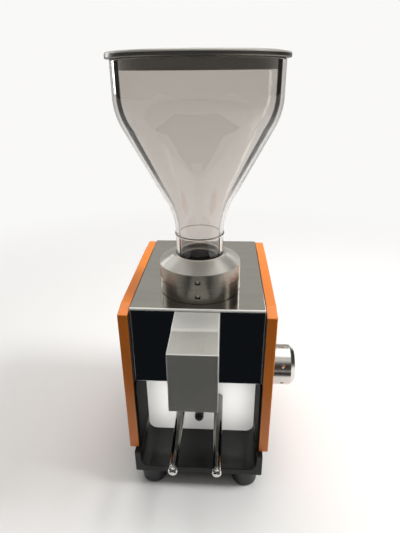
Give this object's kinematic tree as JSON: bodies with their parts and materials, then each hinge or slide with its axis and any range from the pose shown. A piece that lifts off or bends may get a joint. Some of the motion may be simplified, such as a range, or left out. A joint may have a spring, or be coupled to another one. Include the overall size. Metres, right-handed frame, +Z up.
{
  "type": "espresso grinder",
  "caption": "Compact espresso grinder: box body between lacquered side panels, glass bean hopper on a turned collar, front spout over a rod fork, side adjusting knob.",
  "frame": {"origin": "centre of the part's box, on the surface it stands on", "axes": "+X to the right seen from the front (knob side), +Y from the front to the back, +Z up"},
  "size_m": [0.1566, 0.2254, 0.381],
  "materials": {
    "black_enamel": "semi-gloss black enamel",
    "orange_lacquer": "gloss orange lacquer",
    "mirror_steel": "mirror-polished stainless steel",
    "polished_steel": "finely polished stainless steel",
    "plated_steel": "zinc-plated sheet",
    "zinc_screws": "zinc plated",
    "satin_aluminium": "satin anodised",
    "pale_enamel": "pale satin enamel",
    "turned_aluminium": "turned, fine lathe marks",
    "cast_aluminium": "as cast",
    "chrome_rod": "polished chrome",
    "clear_glass": "clear blown glass",
    "foot_rubber": "matt rubber",
    "black_plastic": "fine-grained",
    "grey_plastic": "moulded",
    "burr_steel": "hardened, ground",
    "ground_steel": "ground",
    "bronze": "turned bronze",
    "motor_iron": "laminated iron, varnished"
  },
  "bodies": {
    "body": {"base_frame": "black_enamel", "rubber_feet": "foot_rubber", "foot_screws": "zinc_screws", "cheek_left": "black_enamel", "cheek_right": "black_enamel", "side_panel_left": "orange_lacquer", "side_panel_right": "orange_lacquer", "panel_screws": "zinc_screws", "front_plate": "mirror_steel", "top_plate": "polished_steel", "deck": "plated_steel", "rear_cover": "black_enamel", "rear_cover_posts": "plated_steel", "rear_cover_screws": "zinc_screws", "bay_back_plate": "pale_enamel", "fork_bracket": "plated_steel", "fork_rod_left": "chrome_rod", "fork_rod_right": "chrome_rod", "fork_nuts": "zinc_screws", "button_bush": "black_plastic", "button_spring": "ground_steel", "start_switch": "black_plastic", "spout_housing": "satin_aluminium", "spout_screws": "zinc_screws", "grounds_deflector": "ground_steel", "collar_lower": "turned_aluminium", "collar_upper": "turned_aluminium", "collar_grub_screws": "zinc_screws", "collar_bolts": "zinc_screws", "burr_carrier": "turned_aluminium", "ring_burr": "burr_steel", "grinding_chamber": "cast_aluminium", "shaft_bearing": "ground_steel", "deck_bush": "bronze", "adjuster_bracket": "plated_steel", "adjuster_bush": "bronze", "motor_stator": "motor_iron", "motor_can": "plated_steel", "motor_cap_upper": "cast_aluminium", "motor_cap_lower": "cast_aluminium", "motor_bolts": "zinc_screws", "cable_gland": "black_plastic", "run_capacitor": "black_plastic", "terminal_block": "grey_plastic"},
    "burr_lift": {"lift_block": "cast_aluminium", "thrust_bearing": "ground_steel"},
    "burr_rotor": {"burr_shaft": "ground_steel", "main_gear": "ground_steel", "sweeper": "turned_aluminium", "cone_burr": "burr_steel", "cone_nut": "burr_steel"},
    "motor_drive": {"motor_rotor": "motor_iron", "motor_shaft": "ground_steel", "motor_pinion": "ground_steel"},
    "adjuster": {"adjuster_shaft": "ground_steel", "adjuster_knob": "turned_aluminium"},
    "button": {"start_button": "black_plastic"},
    "hopper": {"hopper_glass": "clear_glass"},
    "lid": {"hopper_lid": "satin_aluminium"}
  },
  "joints": [
    {"name": "knob_turn", "type": "hinge", "parent": "body", "child": "adjuster", "pos_m": [-0.0113, -0.0127, 0.1075], "axis": [1, 0, 0], "range_deg": [-121.5, 121.5]},
    {"name": "burr_lift_slide", "type": "slide", "parent": "body", "child": "burr_lift", "axis": [0, 0, 1], "range_m": [-0.0008, 0.0008]},
    {"name": "burr_spin", "type": "hinge", "parent": "burr_lift", "child": "burr_rotor", "pos_m": [-0.0113, -0.0127, 0.1281], "axis": [0, 0, 1], "continuous": true},
    {"name": "motor_spin", "type": "hinge", "parent": "body", "child": "motor_drive", "pos_m": [-0.0113, 0.0353, 0.1281], "axis": [0, 0, 1], "continuous": true},
    {"name": "button_press", "type": "slide", "parent": "body", "child": "button", "axis": [0, 1, 0], "range_m": [0, 0.003], "stiffness_N_per_m": 300, "springref_m": -0.002, "deforming": ["button_spring"]},
    {"name": "hopper_lift", "type": "slide", "parent": "body", "child": "hopper", "axis": [0, 0, 1], "range_m": [0, 0.06]},
    {"name": "lid_lift", "type": "slide", "parent": "hopper", "child": "lid", "axis": [0, 0, 1], "range_m": [0, 0.05]}
  ],
  "couplings": [
    {"joint": "knob_turn", "follows": "burr_lift_slide", "rad_per_m": 2618},
    {"joint": "motor_spin", "follows": "burr_spin", "ratio": -3}
  ]
}
